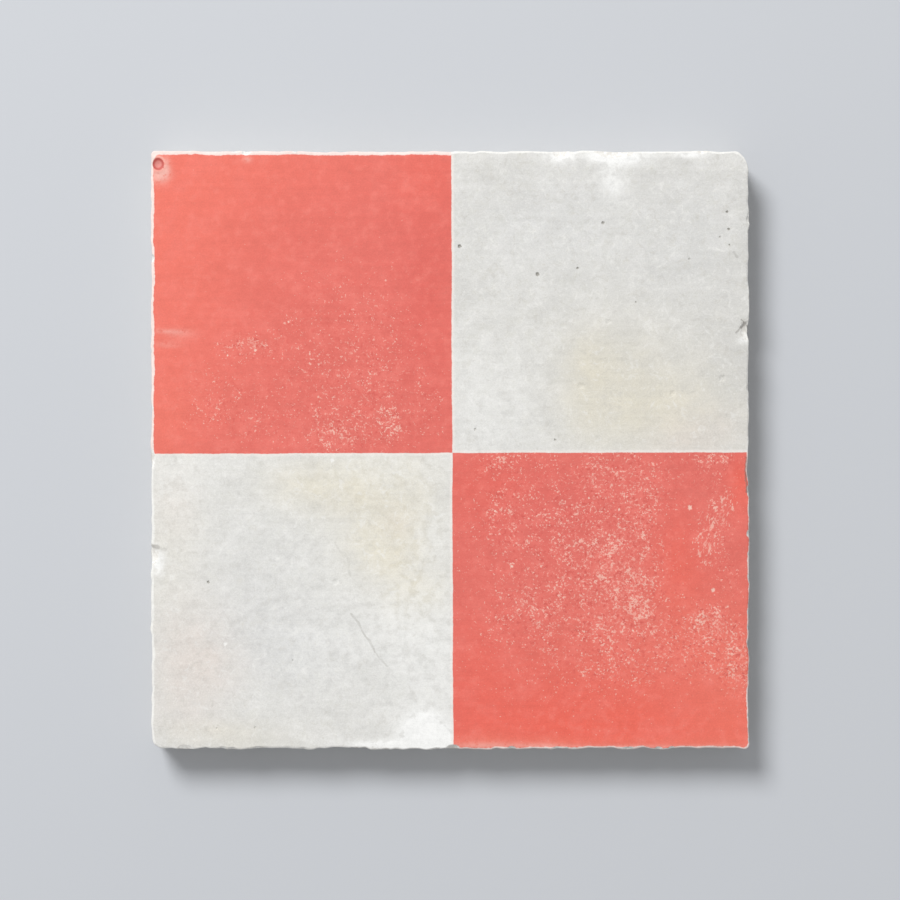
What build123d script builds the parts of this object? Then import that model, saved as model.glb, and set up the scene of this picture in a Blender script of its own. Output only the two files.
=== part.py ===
import os
from math import sqrt

from build123d import *

# Slab, in millimetres, lying on its back with the patterned face up
FACE_WIDTH = 200.0
FACE_LENGTH = 200.0
THICKNESS = 16.0
SIDE_DRAFT = 1.0  # degrees that each side leans in towards the back
ARRIS_RADIUS = 0.8  # how far handling has rounded the edge of the face
BACK_BEVEL = 0.5

# How round each corner of the face has worn, sharpest on the coral squares
FAR_LEFT_CORNER = 1.3
FAR_RIGHT_CORNER = 4.5
NEAR_RIGHT_CORNER = 2.0
NEAR_LEFT_CORNER = 3.0

# Chips knocked out of the edge of the face, as (place, length, bite, drop).
# The place runs from -1 to 1 along each side, clockwise seen from above. The
# length is along the edge, the bite into the face, the drop down the side.
CHIPS = {
    "far": [
        (-0.68, 3.8, 1.8, 1.4),
        (-0.22, 3.6, 1.2, 1.1),
        (0.37, 8.6, 2.5, 1.2),
        (0.55, 18.0, 2.9, 1.4),
        (0.84, 5.0, 1.5, 1.2),
    ],
    "right": [
        (-0.77, 3.6, 1.4, 1.3),
        (-0.40, 7.6, 3.6, 1.7),
        (0.13, 3.2, 1.2, 1.2),
        (0.28, 3.0, 1.2, 1.3),
        (0.54, 2.8, 1.1, 1.1),
    ],
    "near": [
        (-0.74, 3.6, 1.3, 1.3),
        (-0.60, 3.4, 1.2, 1.2),
        (-0.36, 5.0, 1.3, 1.2),
        (-0.01, 5.6, 1.9, 1.8),
        (0.31, 4.4, 1.2, 1.2),
        (0.64, 5.0, 1.4, 1.4),
        (0.76, 4.6, 1.3, 1.3),
        (0.88, 9.0, 1.9, 1.2),
    ],
    "left": [
        (-0.35, 8.6, 2.9, 1.8),
        (-0.03, 8.4, 2.0, 1.9),
        (0.14, 3.8, 1.3, 1.3),
        (0.64, 3.4, 1.6, 1.4),
    ],
}

# Round pock left by a burst air bubble, close to the far left corner
POCK_FROM_LEFT = 2.6
POCK_FROM_FAR = 4.6
POCK_WIDTH = 4.0
POCK_DEPTH = 0.8

HALF_WIDTH = FACE_WIDTH / 2
HALF_LENGTH = FACE_LENGTH / 2

CORNERS = [
    ((-HALF_WIDTH, HALF_LENGTH), FAR_LEFT_CORNER),
    ((HALF_WIDTH, HALF_LENGTH), FAR_RIGHT_CORNER),
    ((HALF_WIDTH, -HALF_LENGTH), NEAR_RIGHT_CORNER),
    ((-HALF_WIDTH, -HALF_LENGTH), NEAR_LEFT_CORNER),
]

# Turn that brings the far side round to each side, its distance from the
# middle of the tile and half its length
SIDES = {
    "far": (0, HALF_LENGTH, HALF_WIDTH),
    "right": (-90, HALF_WIDTH, HALF_LENGTH),
    "near": (180, HALF_LENGTH, HALF_WIDTH),
    "left": (90, HALF_WIDTH, HALF_LENGTH),
}


def stand_off(half_length, cut):
    """How far a scoop's centre stands off a face that it cuts this deep."""
    return (half_length**2 - cut**2) / (2 * cut)


with BuildPart() as tile:
    # Pressed slab, its sides drawn in towards the back to leave the mould
    face_plane = Plane.XY.offset(THICKNESS)
    with BuildSketch(face_plane) as face:
        Rectangle(FACE_WIDTH, FACE_LENGTH)
        for corner, radius in CORNERS:
            spot = Vector(*corner, THICKNESS)
            fillet(face.vertices().sort_by_distance(spot)[0], radius)
    extrude(amount=-THICKNESS)
    sides = tile.faces().sort_by(Axis.Z)[1:-1]
    draft(sides, face_plane, -SIDE_DRAFT)

    # Worn edge round the face, bevelled edge round the back
    fillet(tile.faces().sort_by(Axis.Z)[-1].edges(), ARRIS_RADIUS)
    chamfer(tile.faces().sort_by(Axis.Z)[0].edges(), BACK_BEVEL)

    # Chips, each scooped by a ball centred outside the edge, above the face
    for side, chips in CHIPS.items():
        turn, distance, half_side = SIDES[side]
        for place, length, bite, drop in chips:
            out = stand_off(length / 2, bite)
            rise = stand_off(length / 2, drop)
            reach = sqrt(out**2 + rise**2 + (length / 2) ** 2)
            spot = Pos(place * half_side, distance + out, THICKNESS + rise)
            with Locations(Rot(0, 0, turn) * spot):
                Sphere(reach, mode=Mode.SUBTRACT)

    # Pock, a shallow bowl in the face
    rise = stand_off(POCK_WIDTH / 2, POCK_DEPTH)
    pock_x = POCK_FROM_LEFT - HALF_WIDTH
    pock_y = HALF_LENGTH - POCK_FROM_FAR
    with Locations((pock_x, pock_y, THICKNESS + rise)):
        Sphere(rise + POCK_DEPTH, mode=Mode.SUBTRACT)

os.makedirs("parts", exist_ok=True)
tile.part.label = "tile"
export_step(tile.part, "parts/tile.step")
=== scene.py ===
"""Pressed cement tile with a chequered face: worn edges, chips, pits and wear."""

import math
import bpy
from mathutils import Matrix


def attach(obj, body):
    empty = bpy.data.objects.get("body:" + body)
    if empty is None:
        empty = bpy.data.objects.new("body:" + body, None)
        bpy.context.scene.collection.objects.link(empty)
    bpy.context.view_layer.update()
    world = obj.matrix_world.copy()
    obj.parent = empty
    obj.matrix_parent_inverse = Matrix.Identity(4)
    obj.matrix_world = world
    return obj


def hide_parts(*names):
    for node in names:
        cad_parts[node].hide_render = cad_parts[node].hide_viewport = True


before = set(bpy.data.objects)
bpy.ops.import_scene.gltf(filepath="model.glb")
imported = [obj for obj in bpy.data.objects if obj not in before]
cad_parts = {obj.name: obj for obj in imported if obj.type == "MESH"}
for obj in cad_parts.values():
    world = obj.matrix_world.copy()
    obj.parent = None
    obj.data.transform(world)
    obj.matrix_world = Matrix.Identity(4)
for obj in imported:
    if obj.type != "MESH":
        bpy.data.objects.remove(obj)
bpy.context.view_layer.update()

from types import SimpleNamespace

import bmesh
import bpy
import numpy as np
from mathutils import Vector

MM = 0.001  # the shapes below are in millimetres

# Slab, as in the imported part
HALF = 100.0
THICK = 16.0
DRAFT = math.tan(math.radians(1.0))
ARRIS = 0.8
BACK_BEVEL = 0.5
# Radii of each worn corner across and up. The far right one has lost a little
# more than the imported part's 4.5
CORNER_RADII = {
    (-1, 1): (1.3, 1.3),
    (1, 1): (5.2, 7.4),
    (1, -1): (2.0, 2.0),
    (-1, -1): (3.0, 3.0),
}

# Chips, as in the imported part, on the far, right, near and left side: place
# along the side from -1 to 1, clockwise, length, bite and drop
CHIPS = [
    [
        (-0.68, 3.8, 1.8, 1.4),
        (-0.22, 3.6, 1.2, 1.1),
        (0.37, 8.6, 2.5, 1.2),
        (0.55, 18.0, 2.9, 1.4),
        (0.84, 5.0, 1.5, 1.2),
    ],
    [
        (-0.77, 3.6, 1.4, 1.3),
        (-0.40, 7.6, 3.6, 1.7),
        (0.13, 3.2, 1.2, 1.2),
        (0.28, 3.0, 1.2, 1.3),
        (0.54, 2.8, 1.1, 1.1),
    ],
    [
        (-0.74, 3.6, 1.3, 1.3),
        (-0.60, 3.4, 1.2, 1.2),
        (-0.36, 5.0, 1.3, 1.2),
        (-0.01, 5.6, 1.9, 1.8),
        (0.31, 4.4, 1.2, 1.2),
        (0.64, 5.0, 1.4, 1.4),
        (0.76, 4.6, 1.3, 1.3),
        (0.88, 9.0, 1.9, 1.2),
    ],
    [
        (-0.35, 8.6, 2.9, 1.8),
        (-0.03, 8.4, 2.0, 1.9),
        (0.14, 3.8, 1.3, 1.3),
        (0.64, 3.4, 1.6, 1.4),
    ],
]
POCK = (-97.4, 95.4, 4.0, 0.8)  # x, y, width and depth
POCK_LIP_HEIGHT = 0.16
POCK_LIP_WIDTH = 0.5
POCK_LIP_REACH = 0.6  # from the pock's middle, as a share of its width
POCK_LIP_FADE = 1.2  # how far in from the arris the lip reaches its full height
POCK_ROUGHNESS = 0.06
POCK_SEED = 31
PALE_POCK_DEPTH = 0.6  # where its bowl is palest

# Roughness of a chip, which grows with its length up to the last one
CHIP_ROUGHNESS = 0.04
CHIP_ROUGHENING = 0.012
CHIP_ROUGHEST = 9.0
CHIP_SEED = 45
CHIP_SEED_STEP = 5
CHIP_GRAIN = 2.0  # size of the blotches in a broken surface
PALE_CHIP_DEPTH = 0.12  # where a chip has lost all its colour

# Wear of the face's edge: how far in its outline has gone, and its arris
EDGE_LOSS = 0.36
LEAST_EDGE_LOSS = 0.02
EDGE_LOSS_AT_BACK = 0.4  # as a share of that at the face
ARRIS_LIMITS = (0.45, 1.4)
EDGE_DIP = 0.14  # how far the face sinks at its edge
EDGE_DIP_REACH = 2.0
# How ragged the outline is at the near side, just in from it and at the far side
RAGGED_PLACES = [-1.0, -0.99, 1.0]
RAGGED_SHARES = [1.7, 1.1, 0.8]

# Unevenness, as (height, length, seed) of each wave, and how far it sinks each surface
OUTLINE_WAVES = [(0.24, 19.0, 3)]
RAGGED_WAVES = [(0.30, 6.5, 4), (0.26, 2.6, 5)]
ARRIS_WAVES = [(0.24, 9.0, 6), (0.20, 2.6, 7)]
FACE_WAVES = [(0.05, 52.0, 11), (0.018, 9.0, 12)]
SIDE_WAVES = [(0.10, 8.0, 13), (0.07, 2.4, 14)]
BACK_WAVES = [(0.16, 30.0, 15)]
NOISE_LAYERS = 3
FACE_SINK = 0.06
SIDE_SINK = 0.09
BACK_SINK = 0.10
FACE_WAVES_FADE = 3.0  # how far in from the edge the face waves fully
SIDE_FOOT = 0.02  # below this height nothing is pushed in

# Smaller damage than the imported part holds, scattered by a seeded draw
SEED = 7
NICKS = 270  # along the edge of the face
NICK_SHARES = [0.18, 0.27, 0.33, 0.22]  # of them on the far, right, near and left side
NICK_LENGTHS = (1.3, 3.8)
NICK_BITES = (0.18, 0.36)  # as shares of the length, as are the drops
NICK_DROPS = (0.20, 0.40)
NICK_REACH = 0.98  # of half a side
NICK_SEED = 900
VOIDS = 70  # air holes in the sides
VOID_RADII = (0.9, 2.0)
VOID_LEVELS = (2.5, 13.5)  # below the face
VOID_REACH = 0.97
VOID_ROUGHNESS = 0.05
VOID_SEED = 1300
VOID_INSET = 0.3  # the worn side's distance from the drawn one
VOID_STAND_OFF = 0.62  # its centre off the side, as a share of its radius

# Mesh: cells along a side of the inner field, points along a side of its rim
FIELD = 96.0
CELLS = 180
RIM = 2 * CELLS
BACK_CELLS = 45
AROUND = 4 * RIM
EVEN_LINES = 0.68  # 1 would space the cells evenly, less crowds them at the ends
# Rings of points from the field's rim out to the arris, round it, down the side and
# under, where each has its inset and height
FACE_RINGS = 14
RING_CROWDING = 1.4  # above 1 the rings crowd towards the arris
ARRIS_TURNS = [14, 28, 42, 56, 72, 90]  # degrees
ARRIS_RINGS_ON_FACE = 3  # those that the map counts to the face
SIDE_RINGS = 14
UNDER_RINGS = [(0.12, 0.22), (0.36, 0.06), (0.8, 0.0), (2.2, 0.0)]
# A point's way along that section: above 0 on the face, below 0 on the side
FACE_WAY = 0.3  # the face starts here
SIDE_WAY = -0.4  # and the side here
BACK_WAY = -40.0
PIT_WAY = 20.0
STORED_WAY = (-6, 8)  # limits of what the material gets to know
STORED_DEPTH = (0, 2)

# Map that colours are baked to: the face, strips for the sides above it, and the back
# squeezed into what is left on the right
FACE_SHEET, SIDE_SHEET, BACK_SHEET = range(3)
MAP_GAP = 0.004
MAP_FACE = 0.712
MAP_STRIPS = 0.724  # where the strips start
MAP_STRIP = 0.060
MAP_BACK = (0.860, 0.5)  # its middle
MAP_BACK_HALF = (0.132, 0.492)

# Air pits and shallow dents in the cream, as (x, y, radius, depth, painted shade), the shade
# darkening a pit towards its bottom
PITS = [
    (3.2, 68.0, 0.66, 0.45, 0.85),
    (29.2, 58.5, 0.64, 0.45, 0.80),
    (42.5, 60.6, 0.46, 0.35, 0.7),
    (51.0, 75.7, 0.55, 0.40, 0.65),
    (92.4, 79.4, 0.45, 0.35, 0.8),
    (92.9, 73.6, 0.45, 0.30, 0.8),
    (93.2, 68.4, 0.40, 0.30, 0.6),
    (90.0, 71.0, 0.36, 0.25, 0.4),
    (79.8, 63.6, 0.50, 0.25, 0.3),
    (62.0, 49.3, 0.36, 0.25, 0.5),
    (8.5, 6.9, 0.50, 0.30, 0.4),
    (35.0, 3.4, 0.45, 0.30, 0.5),
    (-80.6, -44.1, 0.48, 0.35, 0.7),
    (-77.7, -92.8, 0.42, 0.25, 0.1),
    (-64.9, -92.6, 0.45, 0.25, 0.15),
    (-52.4, -70.2, 0.34, 0.25, 0.3),
    (43.9, 21.4, 1.10, 0.22, 0.0),
    (52.9, 42.7, 0.90, 0.18, 0.0),
    (74.2, 18.8, 1.00, 0.20, 0.0),
    (90.8, 23.9, 1.10, 0.25, 0.1),
    (-38.0, -44.0, 1.20, 0.16, 0.0),
]
# Section of a pit: share of its radius, of its depth and of its painted shade
PIT_RINGS = [(1.30, 0.0, 0.0), (1.08, 0.04, 0.15), (0.88, 0.40, 0.75), (0.5, 0.9, 1.0)]
PIT_RAGGED = 0.34  # how far its radius strays
PIT_ROOM = 0.9  # share of its block of cells that it may fill
SMALL_PIT = 0.43  # below this radius the block is two cells wide, above it four
PIT_MARGIN = 3  # cells that a pit's middle keeps from the field's rim

# Single pale flecks, as (x, y, radius)
FLECKS = [
    (80.0, -19.2, 0.75),
    (87.7, -46.7, 0.62),
    (20.6, -38.8, 0.50),
    (56.3, -19.8, 0.42),
    (46.3, -16.0, 0.36),
    (14.9, -20.3, 0.36),
    (-53.8, 42.7, 0.40),
    (-64.9, 33.3, 0.42),
    (-74.2, 31.6, 0.36),
    (61.0, -60.2, 0.40),
    (-75.0, -64.7, 0.62),
    (-39.3, -3.4, 0.62),
]
FLECK_DEPTH = 0.05

# Soft marks, as (x, y, spread across, spread up, strength)
MARK_FALL_OFF = 0.8
MARK_LIMIT = 1.2
BLOOM_LIMIT = 2.0
# Where the coral is worn through in specks, scraped, lighter as painted light, and deep
SPECKLE = [
    (39, -41, 31, 35, 0.42),
    (54, -38, 9, 11, 0.72),
    (63, -51, 8, 9, 0.85),
    (53, -58, 7, 6, 0.45),
    (29, -54, 12, 9, 0.50),
    (19, -22, 9, 10, 0.46),
    (38, -29, 11, 9, 0.26),
    (54, -9, 17, 11, 0.54),
    (66, -24, 6, 14, 0.35),
    (55, -72, 14, 8, 0.50),
    (18, -4, 9, 4, 0.55),
    (94, -44, 3, 5, 0.45),
    (87, -57, 5, 4, 1.20),
    (85, -65, 13, 9, 0.75),
    (97, -73, 5, 8, 1.20),
    (88, -3, 6, 4, 0.85),
    (89, -26, 5, 12, 0.45),
    (-37, 5, 8, 6, 0.70),
    (-20, 8, 4, 6, 0.70),
    (-28, 18, 16, 14, 0.42),
    (-25, 36, 14, 12, 0.30),
    (-36, 52, 18, 14, 0.20),
    (-68, 34.6, 7, 3, 1.15),
    (-54, 42, 4, 4, 0.24),
    (-60, 9, 20, 9, 0.30),
    (-50, 28, 12, 9, 0.32),
    (-78, 17, 9, 8, 0.42),
    (-8, 14, 6, 10, 0.30),
]
SCRAPE = [
    (92, -17, 4, 5, 1.20),
    (89, -25, 4, 6, 1.20),
    (85, -33, 4, 6, 1.20),
    (96, -47, 2, 6, 0.40),
]
# Painted light: lighter coral towards the outer left, the lower right corner and the near edge,
# where the light falls brighter
PAINTED_LIGHT = [
    (-100, 100, 50, 50, 0.48),
    (-100, 40, 26, 50, 0.48),
    (-50, 100, 50, 18, 0.28),
    (-96, 8, 12, 14, 0.30),
    (98, -82, 26, 32, 0.62),
    (60, -64, 30, 16, 0.18),
    (50, -98, 60, 2, 0.50),
    (12, -96.5, 10, 3, 0.50),
    (33, -97, 6, 2, 0.40),
]
DEEP = [
    (52, -94, 52, 14, 1.00),
    (40, -74, 50, 14, 0.30),
    (8, -70, 10, 22, 0.25),
    (76, -40, 8, 16, 0.62),
    (97, -12, 4, 9, 0.85),
    (96, -92, 10, 8, 0.40),
    (12, -12, 14, 12, 0.30),
    (-8, 92, 10, 12, 0.32),
    (-6, 48, 8, 30, 0.12),
]
# Where the cream has warm and pink stains, and painted shade that darkens either colour where
# less light falls
WARM = [
    (58, 21, 18, 19, 0.66),
    (74, 11, 22, 12, 0.52),
    (46, 30, 7, 9, 0.50),
    (45, 13, 7, 10, 0.30),
    (88, 32, 14, 28, 0.22),
    (-48, -12, 12, 7, 0.80),
    (-24, -5, 30, 6, 0.30),
    (-30, -15, 14, 10, 0.85),
    (-12, -20, 10, 14, 0.75),
    (-24, -33, 11, 10, 0.95),
    (-12, -46, 10, 9, 1.00),
    (-93, -26, 9, 30, 0.34),
    (-70, -96, 16, 5, 0.40),
    (-84, -93, 13, 3, 0.34),
]
PINK = [
    (85, 6, 12, 7, 0.60),
    (75, 2, 10, 4, 0.40),
    (-87, -65, 12, 14, 0.95),
    (-80, -73, 11, 8, 0.55),
    (-88, -85, 11, 9, 0.60),
    (-92, -17, 8, 12, 0.40),
    (-18, -24, 5, 5, 0.35),
]
# Painted shade: darker, greyer patches of either colour where less light falls
PAINTED_SHADE = [
    (16, -15, 13, 13, 0.50),
    (36, -22, 12, 12, 0.36),
    (-9, 42, 8, 34, 0.42),
    (36, 76, 26, 18, 0.42),
    (84, 58, 16, 30, 0.55),
    (92, 24, 9, 18, 0.40),
    (-66, -50, 16, 18, 0.34),
    (-56, -68, 20, 12, 0.50),
]
# Where the cream is whitened, and where the coral is scuffed
BLOOM = [
    (37, 97.6, 5, 1.7, 1.20),
    (50, 98.0, 4, 1.4, 1.20),
    (58, 97.2, 8, 2.1, 1.20),
    (80, 98.4, 5, 1.0, 1.00),
    (53, 92, 4, 5, 0.55),
    (55, 87, 4, 4, 0.42),
    (14, 14, 14, 14, 0.30),
    (-8.6, -94.8, 6.2, 5.2, 1.90),
    (-5, -97, 6, 2.6, 1.60),
    (-8, -92, 10, 8, 0.16),
    (-22, -98.2, 11, 1.3, 1.10),
    (-97.6, -37.6, 2.2, 3.4, 1.20),
    (-50, -50, 56, 56, 0.22),
    (98.2, 36.6, 2.0, 1.0, 1.10),
    (-5, -74, 13, 20, 0.34),
    (-6, -28, 6, 11, 0.32),
    (-12, -52, 12, 12, 0.24),
    (-92, -8, 12, 10, 0.34),
    (-14, -6, 26, 6, 0.24),
    (-34, -62, 14, 14, 0.16),
]
SCUFF = [
    (-94, 39.7, 5, 0.6, 0.55),
    (-90, 38.6, 4.5, 1.2, 0.34),
    (-94, 35.2, 4, 0.9, 0.35),
    (-67.6, 96.9, 1.3, 0.9, 0.70),
    (-97.0, 91.5, 2.9, 2.1, 1.20),
    (-94.6, 94.6, 1.2, 2.8, 0.90),
    (11, -98.6, 9, 1.1, 0.62),
    (30, -98.7, 8, 0.9, 0.55),
    (58, -99.0, 18, 0.7, 0.50),
    (88, -99.0, 10, 0.7, 0.45),
]

# Straight strokes, as (start, end, half width, strength), of a hairline crack in the
# cream and of painted shade on the shaded walls of chips along the edge
CRACK = [
    ((-38.0, -31.0), (-34.5, -36.0), 0.60, 0.20),
    ((-34.5, -36.0), (-33.0, -42.0), 0.60, 0.28),
    ((-32.8, -54.4), (-29.2, -60.0), 0.50, 0.54),
    ((-29.2, -60.0), (-25.0, -67.4), 0.50, 0.56),
    ((-25.0, -67.4), (-21.0, -72.0), 0.50, 0.36),
    ((-42.0, -52.4), (-24.0, -51.6), 0.80, 0.12),
    ((-60.0, -50.0), (-73.0, -58.4), 0.90, 0.16),
    ((-73.0, -58.4), (-87.0, -70.4), 0.90, 0.08),
]
CHIP_SHADE_STROKES = [
    ((95.2, 39.0), (97.0, 40.8), 0.50, 0.40),
    ((97.0, 40.8), (98.6, 42.4), 0.50, 0.55),
    ((97.2, 43.4), (99.8, 40.6), 0.42, 0.45),
    ((-99.2, -32.0), (-97.2, -32.4), 1.00, 0.40),
    ((-97.2, -32.4), (-95.0, -33.2), 0.90, 0.16),
    ((98.7, -2.5), (98.5, -8.0), 0.50, 0.40),
    ((98.5, -8.0), (98.9, -14.0), 0.50, 0.55),
    ((94.6, 65.9), (95.8, 64.6), 0.60, 0.22),
]

# Dividing lines of the chequer: where they cross the middle, and how far they slant
LINE_ACROSS = 0.75
LINE_UP = -1.0
LINE_SLANT = 0.003
LINE_SOFTNESS = 0.16

# Finish
GLOSS = 0.25  # specular level
GRAIN_STRENGTH = 0.45
GRAIN_HEIGHT = 0.00022  # in metres

# Studio, in metres
FLOOR_REACH = 4.0
FLOOR_GAP = 0.0001  # keeps the floor clear of the tile's back
FRAME_WIDTH = 0.300  # width of the view at the face
LENS = 120.0  # in millimetres, as is the sensor
SENSOR = 36.0
FAR_CLIP = 50.0
LAMP_PLACE = (-0.95, 1.50, 2.00)
LAMP_SIZE = 1.1
LAMP_POWER = 55.0
AMBIENT = 0.42  # strength of the light from all round


def smooth_noise(points, size, seed):
    """Smooth noise from -1 to 1 at each point, in blotches of this size."""
    cell = np.floor(points / size).astype(np.int64)
    part = points / size - cell
    part = part * part * (3 - 2 * part)
    total = np.zeros(len(points))
    for corner in np.ndindex(2, 2, 2):
        key = (cell + corner) @ np.array([73856093, 19349663, 83492791]) + seed * 7919
        key = (key ^ (key >> 13)) * 1274126177
        key = (key ^ (key >> 15)) * 668265263
        value = ((key >> 7) & 0xFFFF) / 32767.5 - 1
        total += value * np.prod(np.where(corner, part, 1 - part), axis=1)
    return total


def layered_noise(points, size, seed):
    """Noise whose largest blotches are of this size, each layer half the last."""
    total = np.zeros(len(points))
    for layer in range(NOISE_LAYERS):
        fine = 2.0**layer
        total += smooth_noise(points, size / fine, seed + layer) / fine
    return total / 1.5


def waves(points, terms, noise):
    """Adds up noise of these heights, lengths and seeds."""
    return sum(height * noise(points, length, seed) for height, length, seed in terms)


def spread(marks, x, y, limit=MARK_LIMIT):
    """Adds soft round marks up, at most to this limit at each point."""
    total = np.zeros(len(x))
    for mark_x, mark_y, across, up, strength in marks:
        far = ((x - mark_x) / across) ** 2 + ((y - mark_y) / up) ** 2
        total += strength * np.exp(-MARK_FALL_OFF * far)
    return np.minimum(total, limit)


def side_lines():
    """Places from -1 to 1 along a side, closer together towards its ends."""
    even = np.linspace(-1, 1, RIM + 1)
    return EVEN_LINES * even + (1 - EVEN_LINES) * np.sin(even * math.pi / 2)


def walk_round(lines):
    """Points of a unit square's rim, clockwise from its far left corner."""
    place = lines[:-1]
    one = np.ones(RIM)
    far = np.stack([place, one], 1)
    right = np.stack([one, -place], 1)
    near = np.stack([-place, -one], 1)
    left = np.stack([-one, place], 1)
    return np.concatenate([far, right, near, left])


def turn_to_side(side, along, across):
    """Where a place along the far side comes to on each side, clockwise."""
    return [(along, across), (across, -along), (-along, -across), (-across, along)][side]


def worn_outline(unit):
    """The face's outline for those rim points, with each corner's own radii."""
    outline = unit * HALF
    for signs, radii in CORNER_RADII.items():
        centre = np.array(signs) * (HALF - np.array(radii))
        inside = ((outline - centre) * signs > 0).all(axis=1)
        from_centre = outline[inside] - centre
        reach = np.linalg.norm(from_centre / radii, axis=1, keepdims=True)
        outline[inside] = centre + from_centre / reach
    return outline


def edge_dip(inset):
    """How far the face has sunk this far in from its edge."""
    return EDGE_DIP * np.exp(-((inset / EDGE_DIP_REACH) ** 2))


def build_rings(unit):
    """Rings from the face's field out over the edge, down the side and under.

    Returns points as (ring, place, xyz) and, for each, its way along the section.
    """
    field = unit * FIELD
    outline = worn_outline(unit)
    flat = np.column_stack([outline, np.zeros(AROUND)])
    ragged = waves(flat, RAGGED_WAVES, smooth_noise)
    ragged *= np.interp(unit[:, 1], RAGGED_PLACES, RAGGED_SHARES)
    waver = EDGE_LOSS + waves(flat, OUTLINE_WAVES, smooth_noise) + ragged
    waver = np.clip(waver, LEAST_EDGE_LOSS, None)
    arris = np.clip(ARRIS + waves(flat, ARRIS_WAVES, smooth_noise), *ARRIS_LIMITS)
    width = HALF - FIELD
    section = []  # how far in from the outline, height and way, for each ring
    for share in np.linspace(0, 1, FACE_RINGS):
        inset = width + (arris - width) * (1 - (1 - share) ** RING_CROWDING)
        height = THICK - edge_dip(inset)
        section.append((inset + waver * (1 - inset / width), height, inset))
    for turn in np.radians(ARRIS_TURNS):
        inset = arris * (1 - np.sin(turn))
        height = THICK - arris + (arris - edge_dip(arris)) * np.cos(turn)
        section.append((inset + waver, height, arris * (1 - turn)))
    top = THICK - arris
    for share in np.linspace(0, 1, SIDE_RINGS + 1)[1:]:
        height = top + (BACK_BEVEL - top) * share
        fade = 1 - (1 - EDGE_LOSS_AT_BACK) * share
        section.append((waver * fade, height, arris * (1 - math.pi / 2) - (top - height)))
    end = section[-1][2]
    for inset, height in UNDER_RINGS:
        loss = waver * EDGE_LOSS_AT_BACK
        section.append((inset + loss, np.full(AROUND, height), end - inset))
    section.append((np.full(AROUND, width), np.zeros(AROUND), end - width))
    rings, ways = [], []
    for inset, height, way in section:
        height = np.broadcast_to(height, AROUND)
        lean = np.where(inset < width, DRAFT * (THICK - height), 0)
        share = (np.minimum(inset + lean, width) / width)[:, None]
        rings.append(np.column_stack([outline + (field - outline) * share, height]))
        ways.append(np.broadcast_to(way, AROUND))
    return np.array(rings), np.array(ways)


def chain(ring, cells, start, end):
    """Rim points on the border of a grid from one of its points up to the next."""
    step = RIM // cells
    (i, j), (k, m) = start, end
    if j == m == cells:
        first, way = step * i, k - i
    elif i == k == cells:
        first, way = RIM + step * (cells - j), j - m
    elif j == m == 0:
        first, way = 2 * RIM + step * (cells - i), i - k
    elif i == k == 0:
        first, way = 3 * RIM + step * j, m - j
    else:
        return None
    return [ring[(first + way * n) % AROUND] for n in range(step)]


def grid_faces(ids, ring, cells, skip=()):
    """Faces of a grid seen from above, its border cells joined to every rim point.

    A border cell is a fan from a point inside the grid, so none lies along the rim.
    """
    faces = []
    for i in range(cells):
        for j in range(cells):
            if (i, j) in skip:
                continue
            loop = [(i, j), (i + 1, j), (i + 1, j + 1), (i, j + 1)]
            if 0 < i < cells - 1 and 0 < j < cells - 1:
                faces.append([ids[at] for at in loop])
                continue
            face = []
            for start, end in zip(loop, loop[1:] + loop[:1]):
                on_border = chain(ring, cells, start, end)
                face += on_border or [ids[start]]
            inner = next(at for at in loop if 0 < min(at) and max(at) < cells)
            first = face.index(ids[inner])
            face = face[first:] + face[:first]
            faces += [[face[0], *pair] for pair in zip(face[1:], face[2:])]
    return faces


def grid_ids(ring, cells, first):
    """Point numbers of a grid whose border points are taken from a ring."""
    ids = np.zeros((cells + 1, cells + 1), int)
    inner = np.arange((cells - 1) ** 2).reshape(cells - 1, cells - 1)
    ids[1:-1, 1:-1] = first + inner
    step = RIM // cells
    for n in range(cells + 1):
        ids[n, cells] = ring[(step * n) % AROUND]
        ids[cells, n] = ring[(RIM + step * (cells - n)) % AROUND]
        ids[n, 0] = ring[(2 * RIM + step * (cells - n)) % AROUND]
        ids[0, n] = ring[(3 * RIM + step * n) % AROUND]
    return ids


def scoop(points, depth, centre, radius, roughness, seed):
    """Pushes the points inside a ball out to its rough surface."""
    away = points - centre
    far = np.linalg.norm(away, axis=1)
    near = np.flatnonzero(far < radius + 2 * roughness)
    if len(near) == 0:
        return
    rough = layered_noise(points[near], CHIP_GRAIN, seed) * roughness
    cut = radius + rough - far[near]
    inside = cut > 0
    hit = near[inside]
    points[hit] += away[hit] / far[hit, None] * cut[inside, None]
    depth[hit] = np.maximum(depth[hit], cut[inside])


def stand_off(half_length, cut):
    """How far a scoop's centre stands off a face that it cuts this deep."""
    return (half_length**2 - cut**2) / (2 * cut)


def chip(points, depth, side, place, length, bite, drop, seed):
    """Knocks one chip out of the face's edge."""
    out = stand_off(length / 2, bite)
    rise = stand_off(length / 2, drop)
    radius = math.sqrt(out**2 + rise**2 + length**2 / 4)
    x, y = turn_to_side(side, place * HALF, HALF + out)
    centre = np.array([x, y, THICK + rise])
    roughness = CHIP_ROUGHNESS + CHIP_ROUGHENING * min(length, CHIP_ROUGHEST)
    scoop(points, depth, centre, radius, roughness, seed)


def press_unevenly(points, way):
    """Slight waves in the face, rough sides and a slightly hollow back."""
    lift = waves(points, FACE_WAVES, layered_noise) - FACE_SINK
    points[:, 2] += np.where(way > FACE_WAY, lift, 0) * np.clip(way / FACE_WAVES_FADE, 0, 1)
    on_side = (way < SIDE_WAY) & (points[:, 2] > SIDE_FOOT)
    push = waves(points, SIDE_WAVES, layered_noise) - SIDE_SINK
    outwards = points[:, :2] / np.max(np.abs(points[:, :2]), axis=1, keepdims=True).clip(1)
    points[:, :2] += np.where(on_side, push, 0)[:, None] * np.round(outwards)
    hollow = np.clip(BACK_SINK + waves(points, BACK_WAVES, layered_noise), 0, None)
    points[:, 2] += np.where(way <= BACK_WAY, hollow, 0)


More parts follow.
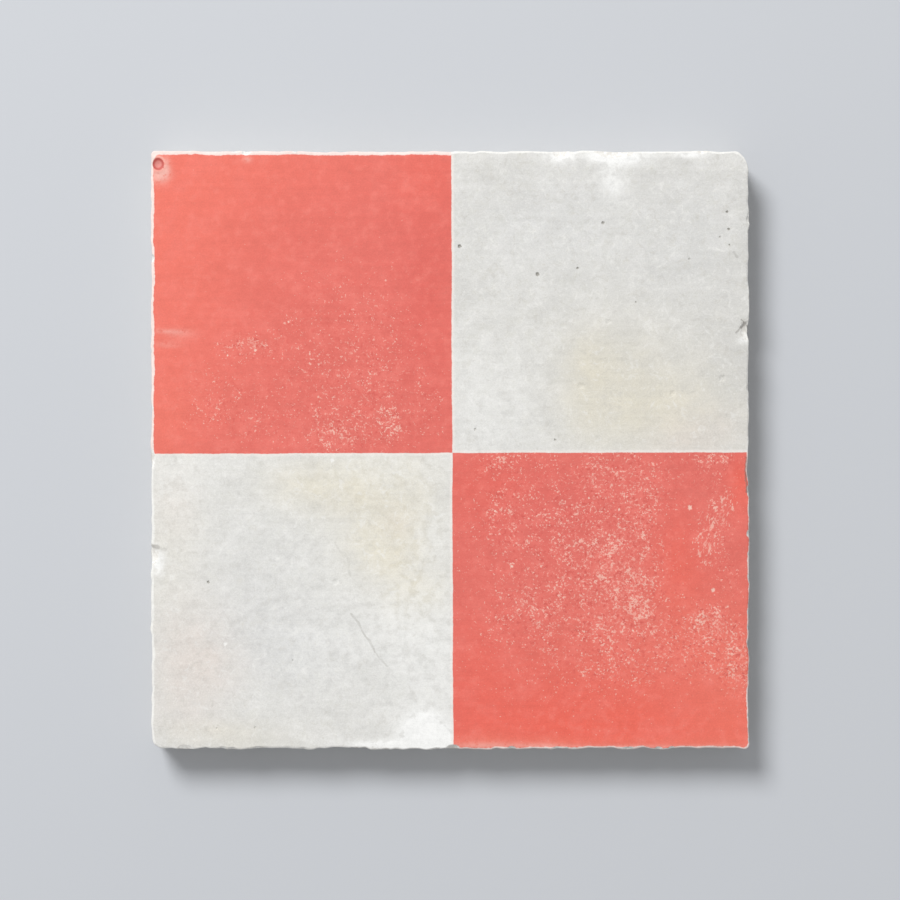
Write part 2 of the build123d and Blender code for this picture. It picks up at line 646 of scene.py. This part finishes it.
def damage(points, luck):
    """Chips, nicks and air holes in the sides. Returns how deep each chip goes."""
    depth = np.zeros(len(points))
    every_chip = [(side, *one) for side, chips in enumerate(CHIPS) for one in chips]
    for number, one in enumerate(every_chip):
        chip(points, depth, *one, CHIP_SEED + CHIP_SEED_STEP * number)
    for number in range(NICKS):
        length = luck.uniform(*NICK_LENGTHS)
        bite = length * luck.uniform(*NICK_BITES)
        drop = length * luck.uniform(*NICK_DROPS)
        side = int(luck.choice(4, p=NICK_SHARES))
        place = luck.uniform(-NICK_REACH, NICK_REACH)
        chip(points, depth, side, place, length, bite, drop, NICK_SEED + number)
    unseen = np.zeros(len(points))
    for number in range(VOIDS):
        side = int(luck.integers(4))
        place = luck.uniform(-VOID_REACH, VOID_REACH) * HALF
        size = luck.uniform(*VOID_RADII)
        low = luck.uniform(*VOID_LEVELS)
        out = HALF - VOID_INSET - DRAFT * low + size * VOID_STAND_OFF
        centre = np.array([*turn_to_side(side, place, out), THICK - low])
        scoop(points, unseen, centre, size, VOID_ROUGHNESS, VOID_SEED + number)
    return depth


def burst_pock(points, way):
    """Sinks the pock by the far left corner. Returns its bowl and its raised lip."""
    x, y, width, deep = POCK
    rise = stand_off(width / 2, deep)
    from_middle = np.hypot(points[:, 0] - x, points[:, 1] - y)
    from_lip = from_middle - POCK_LIP_REACH * width
    lip = np.exp(-((from_lip / POCK_LIP_WIDTH) ** 2)) * (way > FACE_WAY)
    points[:, 2] += POCK_LIP_HEIGHT * lip * np.clip(way / POCK_LIP_FADE, 0, 1)
    bowl = np.zeros(len(points))
    centre = np.array([x, y, THICK + rise])
    scoop(points, bowl, centre, rise + deep, POCK_ROUGHNESS, POCK_SEED)
    return bowl, lip


def cut_pits(points, face_ids, grid, luck):
    """Cuts each pit and fleck into the block of cells round its nearest point.

    One that has no block of its own, clear of the field's rim, is left out. Returns
    the cells that they take up, and their points, faces and marks: painted shade in the pits,
    pale in the flecks.
    """
    skip, extra, faces, marks = set(), [], [], []
    pits = [(*pit, 0.0) for pit in PITS]
    flecks = [(x, y, size, FLECK_DEPTH, 0.0, 1.0) for x, y, size in FLECKS]
    for x, y, size, deep, pit_shade, pale in pits + flecks:
        i, j = np.abs(grid - x).argmin(), np.abs(grid - y).argmin()
        reach = 1 if size < SMALL_PIT else 2
        block = {(i + a, j + b) for a in range(-reach, reach) for b in range(-reach, reach)}
        near_rim = min(i, j) < PIT_MARGIN or max(i, j) > CELLS - PIT_MARGIN
        if near_rim or skip & block:
            continue
        skip |= block
        border = [(i + a, j - reach) for a in range(-reach, reach)]
        border += [(i + reach, j + b) for b in range(-reach, reach)]
        border += [(i - a, j + reach) for a in range(-reach, reach)]
        border += [(i - reach, j - b) for b in range(-reach, reach)]
        outer = [int(face_ids[at]) for at in border]
        middle = np.array([x, y, points[face_ids[i, j], 2]])
        off_x, off_y = points[outer, 0] - x, points[outer, 1] - y
        turns = np.arctan2(off_y, off_x)
        room = np.hypot(off_x, off_y) / (size * PIT_RINGS[0][0])
        ragged = 1 + PIT_RAGGED * luck.uniform(-1, 1, len(outer))
        ragged = np.minimum(ragged, PIT_ROOM * room)
        for share, sink, mark in PIT_RINGS:
            radius = size * (share * ragged)[:, None]
            ring = middle + radius * np.stack([np.cos(turns), np.sin(turns), 0 * turns], 1)
            ring[:, 2] -= sink * deep
            start = len(points) + len(extra)
            extra += ring.tolist()
            marks += [(mark * pit_shade, mark * pale)] * len(outer)
            numbers = list(range(start, start + len(outer)))
            for n in range(len(outer)):
                m = (n + 1) % len(outer)
                faces.append([outer[n], outer[m], numbers[m], numbers[n]])
            outer = numbers
        extra.append((middle - (0, 0, deep)).tolist())
        marks.append((pit_shade, pale))
        hub = len(points) + len(extra) - 1
        for n in range(len(outer)):
            faces.append([outer[n], outer[(n + 1) % len(outer)], hub])
    return skip, np.array(extra), faces, np.array(marks)


def build_tile():
    """The tile's mesh, with what its material needs to know at each point."""
    lines = side_lines()
    rings, ways = build_rings(walk_round(lines))
    count = len(rings)
    ring_ids = np.arange(count * AROUND).reshape(count, AROUND)
    points, way = [rings.reshape(-1, 3)], [ways.reshape(-1)]
    total = count * AROUND

    face_ids = grid_ids(ring_ids[0], CELLS, total)
    grid = lines[:: RIM // CELLS] * FIELD
    x, y = np.meshgrid(grid[1:-1], grid[1:-1], indexing="ij")
    points.append(np.stack([x, y, np.full_like(x, THICK)], -1).reshape(-1, 3))
    way.append(HALF - np.maximum(np.abs(x), np.abs(y)).reshape(-1))
    total += x.size

    back_ids = grid_ids(ring_ids[-1], BACK_CELLS, total)
    back_grid = lines[:: RIM // BACK_CELLS][1:-1] * FIELD
    x, y = np.meshgrid(back_grid, back_grid, indexing="ij")
    points.append(np.stack([x, y, np.zeros_like(x)], -1).reshape(-1, 3))
    way.append(np.full(x.size, BACK_WAY))

    points, way = np.concatenate(points), np.concatenate(way)
    luck = np.random.default_rng(SEED)
    press_unevenly(points, way)
    depth = damage(points, luck)
    bowl, lip = burst_pock(points, way)
    skip, extra, pit_faces, pit_marks = cut_pits(points, face_ids, grid, luck)
    points = np.concatenate([points, extra])
    way = np.concatenate([way, np.full(len(extra), PIT_WAY)])
    unhurt = np.zeros(len(extra))
    depth, bowl, lip = (np.concatenate([one, unhurt]) for one in (depth, bowl, lip))
    marks = np.zeros((len(points), 2))
    marks[-len(extra) :] = pit_marks

    # Faces, each with the sheet of the map that its colours are baked to
    turned = np.roll(ring_ids, -1, axis=1)
    quads = np.stack([ring_ids[:-1], turned[:-1], turned[1:], ring_ids[1:]], -1)
    split = FACE_RINGS + ARRIS_RINGS_ON_FACE
    under = count - len(UNDER_RINGS) - 1
    ring_sheets = np.digitize(np.arange(count - 1), [split, under])
    top_faces = grid_faces(face_ids, ring_ids[0], CELLS, skip) + pit_faces
    back_faces = [face[::-1] for face in grid_faces(back_ids, ring_ids[-1], BACK_CELLS)]
    faces = quads.reshape(-1, 4).tolist() + top_faces + back_faces
    sheets = np.repeat(ring_sheets, AROUND).tolist()
    sheets += [FACE_SHEET] * len(top_faces) + [BACK_SHEET] * len(back_faces)

    mesh = bpy.data.meshes.new("cement_tile")
    mesh.from_pydata((points * MM).tolist(), [], faces)
    mesh.update()
    add_map(mesh, points, np.array(sheets), split, under)
    x, y = points[:, 0], points[:, 1]
    scuffed = np.maximum(spread(SCUFF, x, y) * np.clip(way, 0, 1), lip)
    chipped = np.clip(depth / PALE_CHIP_DEPTH, 0, 1)
    sunk = np.clip(bowl / PALE_POCK_DEPTH, 0, 1)
    kept_way, kept_depth = np.clip(way, *STORED_WAY), np.clip(depth, *STORED_DEPTH)
    whitened = spread(BLOOM, x, y, BLOOM_LIMIT)
    store(mesh, "edge", kept_way, chipped, kept_depth)
    store(mesh, "wear", spread(SPECKLE, x, y), scuffed, sunk)
    store(mesh, "stain", spread(WARM, x, y), spread(PINK, x, y), whitened)
    # Painted shade in the pits, pale flecks, and painted shade where less light falls
    store(mesh, "mark", marks[:, 0], marks[:, 1], spread(PAINTED_SHADE, x, y))
    # Painted light, deep coral and scrapes
    store(mesh, "tint", spread(PAINTED_LIGHT, x, y), spread(DEEP, x, y), spread(SCRAPE, x, y))
    drop_loose(mesh)
    mesh.shade_smooth()
    return mesh


def add_map(mesh, points, sheets, split, under):
    """A map of the face, the sides as four strips and the back, none overlapping."""
    scale = MAP_FACE / (2 * HALF)
    at = np.zeros(len(mesh.loops), np.int32)
    mesh.loops.foreach_get("vertex_index", at)
    sizes = np.zeros(len(mesh.polygons), np.int32)
    mesh.polygons.foreach_get("loop_total", sizes)
    sheet = np.repeat(sheets, sizes)
    polygon = np.repeat(np.arange(len(sizes)), sizes)
    x, y = points[at, 0], points[at, 1]
    u = MAP_GAP + (x + HALF) * scale
    v = MAP_GAP + (y + HALF) * scale
    back = sheet == BACK_SHEET
    u[back] = MAP_BACK[0] + x[back] / HALF * MAP_BACK_HALF[0]
    v[back] = MAP_BACK[1] + y[back] / HALF * MAP_BACK_HALF[1]
    side = sheet == SIDE_SHEET
    quarter = (polygon[side] % AROUND) // RIM
    along = (at[side] - quarter * RIM) % AROUND
    down = (at[side] // AROUND - split) / (under - split)
    u[side] = MAP_GAP + along / RIM * MAP_FACE
    v[side] = MAP_STRIPS + quarter * (MAP_STRIP + 2 * MAP_GAP) + down * MAP_STRIP
    layer = mesh.uv_layers.new(name="OFBake")
    layer.data.foreach_set("uv", np.column_stack([u, v]).astype(np.float32).ravel())


def store(mesh, name, *channels):
    """Keeps three values at each point for the material to read."""
    attribute = mesh.attributes.new(name, "FLOAT_VECTOR", "POINT")
    attribute.data.foreach_set("vector", np.column_stack(channels).astype(np.float32).ravel())


def drop_loose(mesh):
    """Removes the points inside pit blocks that no face uses any more."""
    edit = bmesh.new()
    edit.from_mesh(mesh)
    loose = [point for point in edit.verts if not point.link_faces]
    bmesh.ops.delete(edit, geom=loose, context="VERTS")
    edit.to_mesh(mesh)
    edit.free()


def shade(red, green, blue):
    """A colour written as on a screen, from 0 to 255, for a shader."""
    screen = np.array([red, green, blue]) / 255
    light = np.where(screen <= 0.04045, screen / 12.92, ((screen + 0.055) / 1.055) ** 2.4)
    return (*light.tolist(), 1.0)


# Coral: plain and cloudy, faded or deep, darker as painted shade and lighter as painted light,
# worn down to pale specks and to its rim
CORAL = shade(229, 115, 105)
CORAL_CLOUD = shade(233, 118, 108)
CORAL_PAINTED_SHADE = shade(222, 104, 97)
CORAL_DEEP = shade(243, 110, 94)
CORAL_PAINTED_LIGHT = shade(246, 127, 109)
CORAL_HAZE = shade(238, 132, 121)
CORAL_PATCH = shade(241, 140, 128)
CORAL_RUBBED = shade(240, 148, 137)
CORAL_FRECKLE = shade(208, 92, 85)
CORAL_WORN_THIN = shade(247, 168, 154)
CORAL_WORN_THROUGH = shade(251, 203, 187)
CORAL_SCUFFED = shade(248, 190, 178)
CORAL_FLECK = shade(250, 209, 193)
CORAL_RIM = shade(248, 234, 228)

# Cream: plain and cloudy, darker as painted shade, stained, and what lies on it
CREAM = shade(221, 220, 216)
CREAM_CLOUD = shade(227, 226, 222)
CREAM_HAZE = shade(232, 231, 228)
CREAM_PATCH = shade(209, 208, 201)
CREAM_PAINTED_SHADE = shade(203, 205, 209)
CREAM_WARM = shade(226, 219, 199)
CREAM_PINK = shade(227, 216, 208)
CREAM_PALE_WISP = shade(240, 239, 235)
CREAM_DARK_WISP = shade(204, 201, 193)
CREAM_GRAIN = shade(200, 197, 188)
CREAM_DUST = shade(237, 236, 231)
CREAM_BLOOM = shade(252, 252, 250)
CREAM_CRACK = shade(160, 156, 148)
CREAM_FLECK = shade(250, 249, 246)
CREAM_RIM = shade(242, 241, 237)
DIVIDING_LINE = shade(245, 238, 232)

# Cement of the body and where it is broken, painted shade on chip walls, in the pock's wall and
# in the pits, and the pock's pale floor
BODY = shade(212, 206, 195)
BODY_CLOUD = shade(224, 219, 209)
BODY_HAZE = shade(230, 226, 217)
BODY_GRAIN = shade(184, 176, 163)
BODY_DUST = shade(238, 234, 226)
BROKEN = shade(234, 231, 225)
BROKEN_GRAIN = shade(249, 248, 244)
BROKEN_DEEP = shade(208, 204, 196)
CHIP_WALL_SHADE = shade(122, 116, 110)
POCK_WALL_SHADE = shade(198, 96, 91)
POCK_FLOOR = shade(230, 156, 148)
PIT_SHADE = shade(150, 147, 139)

# Studio
FLOOR = shade(206, 209, 214)
BACKDROP = shade(222, 225, 229)


class Nodes:
    """A material's node tree, with one short call for each kind of node."""

    def __init__(self, name):
        self.material = bpy.data.materials.new(name)
        self.material.use_nodes = True
        self.tree = self.material.node_tree
        self.shader = self.tree.nodes["Principled BSDF"]

    def put(self, value, socket):
        """Links a node's output to a socket, or sets a constant on it."""
        if isinstance(value, bpy.types.NodeSocket):
            self.tree.links.new(value, socket)
        else:
            socket.default_value = value

    def node(self, kind, **settings):
        made = self.tree.nodes.new(kind)
        for name, value in settings.items():
            setattr(made, name, value)
        return made

    def math(self, operation, first, second=0.0):
        made = self.node("ShaderNodeMath", operation=operation)
        self.put(first, made.inputs[0])
        self.put(second, made.inputs[1])
        return made.outputs[0]

    def add(self, first, second):
        return self.math("ADD", first, second)

    def less(self, first, second):
        return self.math("SUBTRACT", first, second)

    def times(self, first, second):
        return self.math("MULTIPLY", first, second)

    def most(self, first, second):
        return self.math("MAXIMUM", first, second)

    def least(self, first, second):
        return self.math("MINIMUM", first, second)

    def step(self, value, low, high):
        """Goes smoothly from 0 at low to 1 at high."""
        made = self.node("ShaderNodeMapRange", interpolation_type="SMOOTHSTEP")
        self.put(value, made.inputs["Value"])
        self.put(low, made.inputs["From Min"])
        self.put(high, made.inputs["From Max"])
        return made.outputs["Result"]

    def drop(self, value, low, high):
        """Goes smoothly from 1 at low to 0 at high."""
        return self.less(1.0, self.step(value, low, high))

    def vector(self, operation, first, second):
        made = self.node("ShaderNodeVectorMath", operation=operation)
        self.put(first, made.inputs[0])
        self.put(second, made.inputs["Scale" if operation == "SCALE" else 1])
        return made.outputs[0]

    def noise(self, where, size, detail=2.0, roughness=0.5, twist=0.0, output="Fac"):
        made = self.node("ShaderNodeTexNoise")
        self.put(where, made.inputs["Vector"])
        made.inputs["Scale"].default_value = 1.0 / size
        made.inputs["Detail"].default_value = detail
        made.inputs["Roughness"].default_value = roughness
        made.inputs["Distortion"].default_value = twist
        return made.outputs[output]

    def warp(self, where, size, amount):
        """Moves places about by up to half this amount."""
        shift = self.vector("SUBTRACT", self.noise(where, size, output="Color"), (0.5, 0.5, 0.5))
        return self.vector("ADD", where, self.vector("SCALE", shift, amount))

    def turned(self, where, degrees):
        """Places turned about the upright axis."""
        made = self.node("ShaderNodeVectorRotate", rotation_type="Z_AXIS")
        self.put(where, made.inputs["Vector"])
        made.inputs["Angle"].default_value = math.radians(degrees)
        return made.outputs[0]

    def worn_spots(self, noise, amount):
        """Spots where the noise is high, covering more where the amount is larger."""
        edge = self.less(0.72, self.times(self.math("POWER", amount, 0.5), 0.190))
        return self.step(noise, edge, self.add(edge, 0.10))

    def stroke(self, x, y, start, end, width):
        """1 along the line from start to end, 0 this far from it."""
        run_x, run_y = end[0] - start[0], end[1] - start[1]
        square = run_x**2 + run_y**2
        from_x, from_y = self.less(x, start[0]), self.less(y, start[1])
        along = self.add(self.times(from_x, run_x / square), self.times(from_y, run_y / square))
        along = self.least(self.most(along, 0.0), 1.0)
        off_x = self.less(from_x, self.times(along, run_x))
        off_y = self.less(from_y, self.times(along, run_y))
        far = self.add(self.times(off_x, off_x), self.times(off_y, off_y))
        return self.drop(far, 0.0, width**2)

    def strokes(self, where, lines):
        """All of these strokes together, each at its strength."""
        x, y, _ = self.split(where)
        total = 0.0
        for start, end, width, strength in lines:
            one = self.times(self.stroke(x, y, start, end, width), strength)
            total = self.most(one, total)
        return total

    def mix(self, amount, first, second):
        made = self.node("ShaderNodeMix", data_type="RGBA")
        self.put(amount, made.inputs[0])
        self.put(first, made.inputs[6])
        self.put(second, made.inputs[7])
        return made.outputs[2]

    def split(self, vector):
        made = self.node("ShaderNodeSeparateXYZ")
        self.put(vector, made.inputs[0])
        return made.outputs

    def stored(self, name):
        made = self.node("ShaderNodeAttribute", attribute_name=name)
        return self.split(made.outputs["Vector"])


def read_surface(n):
    """Places in millimetres, what the mesh stores, and noise that layers share."""
    s = SimpleNamespace()
    place = n.node("ShaderNodeTexCoord").outputs["Object"]
    s.mm = n.vector("SCALE", place, 1.0 / MM)
    s.x, s.y, _ = n.split(s.mm)
    s.way, s.chipped, s.chip_depth = n.stored("edge")
    s.speckle, s.scuff, s.pock = n.stored("wear")
    s.warm, s.pink, s.bloom = n.stored("stain")
    # Painted shade in the pits and where less light falls, beside the pale flecks
    s.pit, s.fleck, s.dull = n.stored("mark")
    s.light, s.deep, s.scrape = n.stored("tint")
    s.broad = n.noise(s.mm, 22.0, 3.0)
    s.cloud = n.noise(s.mm, 7.0, 3.0, 0.55)
    s.patch = n.noise(s.mm, 2.8, 2.0, 0.55)
    s.grain = n.noise(s.mm, 1.3, 3.0, 0.6)
    s.dust = n.noise(s.mm, 0.5, 2.0, 0.6)
    s.streak = n.noise(n.vector("MULTIPLY", s.mm, (0.07, 1.0, 1.0)), 1.4, 3.0, 0.6)
    return s


def chequer(n, s):
    """Where the face is coral, and how far each place is from the dividing lines."""
    waver = n.add(n.times(n.noise(s.mm, 11.0, 1.0), 0.5), n.times(s.grain, 0.35))
    waver = n.less(waver, 0.42)
    line_x = n.less(LINE_ACROSS, n.times(s.y, LINE_SLANT))
    line_y = n.add(n.times(s.x, LINE_SLANT), LINE_UP)
    past_x = n.add(n.less(s.x, line_x), waver)
    past_y = n.add(n.less(s.y, line_y), waver)
    right = n.step(past_x, -LINE_SOFTNESS, LINE_SOFTNESS)
    far = n.step(past_y, -LINE_SOFTNESS, LINE_SOFTNESS)
    is_coral = n.less(n.add(right, far), n.times(n.times(right, far), 2.0))
    from_line = n.least(n.math("ABSOLUTE", past_x), n.math("ABSOLUTE", past_y))
    return is_coral, from_line


def coral_colour(n, s):
    """Coral, deep in some places, with painted light and painted shade, worn through in pale
    specks.
    """
    coral = n.mix(n.step(s.broad, 0.36, 0.64), CORAL, CORAL_CLOUD)
    # Painted shade: darker coral where less light falls
    coral = n.mix(s.dull, coral, CORAL_PAINTED_SHADE)
    coral = n.mix(n.least(s.deep, 1.0), coral, CORAL_DEEP)
    # Painted light: lighter coral where the light falls brighter
    coral = n.mix(n.least(s.light, 1.0), coral, CORAL_PAINTED_LIGHT)
    coral = n.mix(n.times(n.step(s.cloud, 0.46, 0.68), 0.25), coral, CORAL_HAZE)
    coral = n.mix(n.times(n.step(s.patch, 0.50, 0.72), 0.24), coral, CORAL_PATCH)

    clump = n.noise(s.mm, 4.2, 3.0, 0.6)
    dense = n.times(s.speckle, n.add(0.62, n.times(n.step(clump, 0.36, 0.62), 0.50)))
    freckles = n.step(n.noise(s.mm, 1.3, 2.0, 0.6), 0.52, 0.68)
    freckles = n.times(freckles, n.least(n.add(0.10, dense), 0.70))
    coral = n.mix(n.times(dense, 0.10), coral, CORAL_RUBBED)
    coral = n.mix(freckles, coral, CORAL_FRECKLE)

    slant = n.vector("MULTIPLY", n.turned(s.mm, 22.0), (1.0, 0.5, 1.0))
    scrapes = n.worn_spots(n.noise(slant, 1.0, 3.0, 0.65), s.scrape)
    coarse = n.worn_spots(n.noise(s.mm, 1.1, 3.0, 0.65, 0.2), dense)
    fine = n.worn_spots(n.noise(s.mm, 0.75, 2.0, 0.6), dense)
    spots = n.most(n.most(coarse, fine), scrapes)
    pale = n.mix(n.step(clump, 0.40, 0.64), CORAL_WORN_THIN, CORAL_WORN_THROUGH)
    coral = n.mix(n.times(spots, 0.78), coral, pale)

    scuffed = n.times(s.scuff, n.step(s.grain, 0.22, 0.50))
    coral = n.mix(n.least(n.times(scuffed, 0.8), 0.9), coral, CORAL_SCUFFED)
    return n.mix(n.times(s.fleck, 0.9), coral, CORAL_FLECK)


def cream_colour(n, s):
    """Cool and warm clouds, painted shade, stains, bloom, wisps, dark grains and a hairline
    crack.
    """
    cream = n.mix(n.step(s.broad, 0.34, 0.66), CREAM, CREAM_CLOUD)
    cream = n.mix(n.times(n.step(s.cloud, 0.44, 0.66), 0.50), cream, CREAM_HAZE)
    cream = n.mix(n.times(n.step(s.patch, 0.50, 0.70), 0.45), cream, CREAM_PATCH)
    # Painted shade: greyer, darker cream where less light falls
    cream = n.mix(n.times(s.dull, 0.5), cream, CREAM_PAINTED_SHADE)
    cream = n.mix(n.times(s.warm, n.add(0.35, n.times(s.cloud, 0.7))), cream, CREAM_WARM)
    cream = n.mix(n.times(s.pink, n.add(0.30, n.times(s.cloud, 0.7))), cream, CREAM_PINK)
    wisps = n.noise(s.mm, 3.4, 4.0, 0.6, 1.4)
    cream = n.mix(n.times(n.step(wisps, 0.54, 0.70), 0.50), cream, CREAM_PALE_WISP)
    cream = n.mix(n.times(n.drop(wisps, 0.32, 0.46), 0.35), cream, CREAM_DARK_WISP)
    cream = n.mix(n.times(n.step(s.grain, 0.58, 0.74), 0.45), cream, CREAM_GRAIN)
    cream = n.mix(n.times(n.step(s.dust, 0.56, 0.78), 0.30), cream, CREAM_DUST)
    whiten = n.times(s.bloom, n.add(0.45, n.times(n.step(s.patch, 0.34, 0.56), 0.55)))
    flakes = n.add(s.bloom, n.times(n.less(s.patch, 0.5), 0.9))
    whiten = n.most(whiten, n.step(flakes, 0.80, 1.05))
    cream = n.mix(n.least(whiten, 0.97), cream, CREAM_BLOOM)
    crack = n.strokes(n.warp(s.mm, 5.0, 2.4), CRACK)
    crack = n.times(crack, n.add(0.30, n.times(n.step(s.patch, 0.34, 0.58), 0.40)))
    cream = n.mix(crack, cream, CREAM_CRACK)
    return n.mix(n.times(s.fleck, 0.9), cream, CREAM_FLECK)


def body_colour(n, s):
    """Plain pale cement of the sides and the back: sandy, with pale and dark grains."""
    body = n.mix(n.step(s.broad, 0.34, 0.66), BODY, BODY_CLOUD)
    body = n.mix(n.times(n.step(s.cloud, 0.45, 0.70), 0.5), body, BODY_HAZE)
    body = n.mix(n.times(n.step(s.grain, 0.55, 0.72), 0.55), body, BODY_GRAIN)
    return n.mix(n.times(n.step(s.dust, 0.55, 0.75), 0.5), body, BODY_DUST)


def edge_wear(n, s, face, is_coral):
    """Colour lost along the edge, partly painted highlight on the far and left sides, pale
    broken stone in the chips, painted shade in chip walls.
    """
    # The rim is wider on the far and left sides, which face the lamp: worn colour, partly
    # painted highlight
    far_wear_and_highlight = n.step(s.y, HALF - 4.5, HALF - 2.5)
    far_wear_and_highlight = n.times(far_wear_and_highlight, n.add(0.30, n.times(is_coral, 0.72)))
    near_side = n.drop(s.y, 1.5 - HALF, 3.0 - HALF)
    near_side = n.times(near_side, n.times(is_coral, 0.26))
    left_wear_and_highlight = n.times(n.drop(s.x, 2.5 - HALF, 4.5 - HALF), 0.60)
    lost = n.add(0.34, n.most(n.most(far_wear_and_highlight, near_side), left_wear_and_highlight))
    lost = n.add(lost, n.times(n.less(n.noise(s.mm, 8.0, 2.0), 0.5), 1.5))
    lost = n.add(lost, n.times(n.less(s.grain, 0.5), 0.7))
    rim = n.drop(n.less(s.way, lost), -0.14, 0.22)
    rim_colour = n.mix(is_coral, CREAM_RIM, CORAL_RIM)
    face = n.mix(n.times(rim, 0.92), face, rim_colour)

    broken = n.mix(n.step(s.grain, 0.35, 0.65), BROKEN, BROKEN_GRAIN)
    deep = n.times(n.step(s.chip_depth, 0.7, 1.6), 0.30)
    broken = n.mix(deep, broken, BROKEN_DEEP)
    face = n.mix(s.chipped, face, broken)
    # Painted shade: dark strokes on the shaded walls of chips along the edge
    chip_shade = n.strokes(n.warp(s.mm, 1.6, 1.4), CHIP_SHADE_STROKES)
    return n.mix(chip_shade, face, CHIP_WALL_SHADE)


def cement_material():
    """Coral and cream on the face, wear, painted light and painted shade over both, plain pale
    cement elsewhere.
    """
    n = Nodes("pressed_cement")
    s = read_surface(n)
    is_coral, from_line = chequer(n, s)
    face = n.mix(is_coral, cream_colour(n, s), coral_colour(n, s))
    line = n.times(n.drop(from_line, 0.25, 1.25), n.less(1.0, is_coral))
    face = n.mix(n.times(line, 0.72), face, DIVIDING_LINE)
    face = edge_wear(n, s, face, is_coral)
    # Painted shade in the pock's wall, dark all round it, then its pale floor
    face = n.mix(n.times(n.step(s.pock, 0.0, 0.2), 0.85), face, POCK_WALL_SHADE)
    face = n.mix(n.times(n.step(s.pock, 0.6, 1.0), 0.75), face, POCK_FLOOR)
    # Painted shade in the pits, darkest at their bottoms
    face = n.mix(s.pit, face, PIT_SHADE)
    down = n.drop(s.way, -1.6, -0.5)
    colour = n.mix(down, face, body_colour(n, s))
    tone = n.add(n.times(s.grain, 0.18), n.times(s.dust, 0.24))
    tone = n.add(tone, n.times(s.streak, 0.12))
    tone = n.add(tone, n.add(n.times(s.patch, 0.14), n.times(s.cloud, 0.10)))
    colour = n.vector("SCALE", colour, n.add(tone, 0.61))
    n.put(colour, n.shader.inputs["Base Color"])

    # Matt all over, a little smoother where the face isn't worn
    worn = n.most(down, s.chipped)
    rough = n.add(n.add(0.72, n.times(s.grain, 0.14)), n.times(worn, 0.12))
    n.put(n.least(rough, 0.97), n.shader.inputs["Roughness"])
    n.shader.inputs["Specular IOR Level"].default_value = GLOSS

    # Fine relief: grain everywhere, higher on the body and in the chips
    height = n.add(n.times(s.dust, 0.35), n.times(s.grain, 0.65))
    height = n.times(height, n.add(0.36, n.times(worn, 1.2)))
    bump = n.node("ShaderNodeBump")
    bump.inputs["Strength"].default_value = GRAIN_STRENGTH
    bump.inputs["Distance"].default_value = GRAIN_HEIGHT
    n.put(height, bump.inputs["Height"])
    n.put(bump.outputs[0], n.shader.inputs["Normal"])
    return n.material


def floor_material():
    """Plain, pale and matt."""
    n = Nodes("floor")
    n.shader.inputs["Base Color"].default_value = FLOOR
    n.shader.inputs["Roughness"].default_value = 0.9
    n.shader.inputs["Specular IOR Level"].default_value = 0.1
    return n.material


def add_object(name, data):
    """Makes an object of this data and puts it into the scene."""
    made = bpy.data.objects.new(name, data)
    bpy.context.scene.collection.objects.link(made)
    return made


def aim(thing, place, target):
    """Puts a lamp at a place and turns it towards a target."""
    thing.location = place
    thing.rotation_euler = (Vector(target) - Vector(place)).to_track_quat("-Z", "Y").to_euler()


def make_floor():
    """Plain pale floor under the tile."""
    corners = [(-1, -1), (1, -1), (1, 1), (-1, 1)]
    mesh = bpy.data.meshes.new("floor")
    points = [(x * FLOOR_REACH, y * FLOOR_REACH, 0) for x, y in corners]
    mesh.from_pydata(points, [], [(0, 1, 2, 3)])
    mesh.materials.append(floor_material())
    made = add_object("floor", mesh)
    made.location.z = -FLOOR_GAP
    return made


def make_camera():
    """Camera looking straight down, as in the photo, with a long lens."""
    data = bpy.data.cameras.new("camera")
    data.lens = LENS
    data.sensor_width = SENSOR
    data.clip_end = FAR_CLIP
    made = add_object("camera", data)
    made.location = (0.0, 0.0, THICK * MM + FRAME_WIDTH * LENS / SENSOR)
    return made


def make_lamp():
    """One large soft lamp from the upper left."""
    data = bpy.data.lights.new("key", "AREA")
    data.shape = "DISK"
    data.size = LAMP_SIZE
    data.energy = LAMP_POWER
    aim(add_object("key", data), LAMP_PLACE, (0.0, 0.0, 0.0))


def make_world():
    """Even light from all round, and a pale backdrop past the floor."""
    world = bpy.data.worlds.new("studio")
    world.use_nodes = True
    tree = world.node_tree
    around = tree.nodes["Background"]
    around.inputs["Color"].default_value = (1.0, 1.0, 1.0, 1.0)
    around.inputs["Strength"].default_value = AMBIENT
    backdrop = tree.nodes.new("ShaderNodeBackground")
    backdrop.inputs["Color"].default_value = BACKDROP
    backdrop.inputs["Strength"].default_value = 1.0
    path = tree.nodes.new("ShaderNodeLightPath")
    choose = tree.nodes.new("ShaderNodeMixShader")
    tree.links.new(path.outputs["Is Camera Ray"], choose.inputs[0])
    tree.links.new(around.outputs[0], choose.inputs[1])
    tree.links.new(backdrop.outputs[0], choose.inputs[2])
    tree.links.new(choose.outputs[0], tree.nodes["World Output"].inputs["Surface"])
    return world


tile = add_object("cement_tile", build_tile())
tile.data.materials.append(cement_material())
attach(tile, "root")
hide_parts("tile")

floor = make_floor()

bpy.context.scene.camera = make_camera()
make_lamp()
bpy.context.scene.world = make_world()
bpy.context.scene.view_settings.view_transform = "Standard"
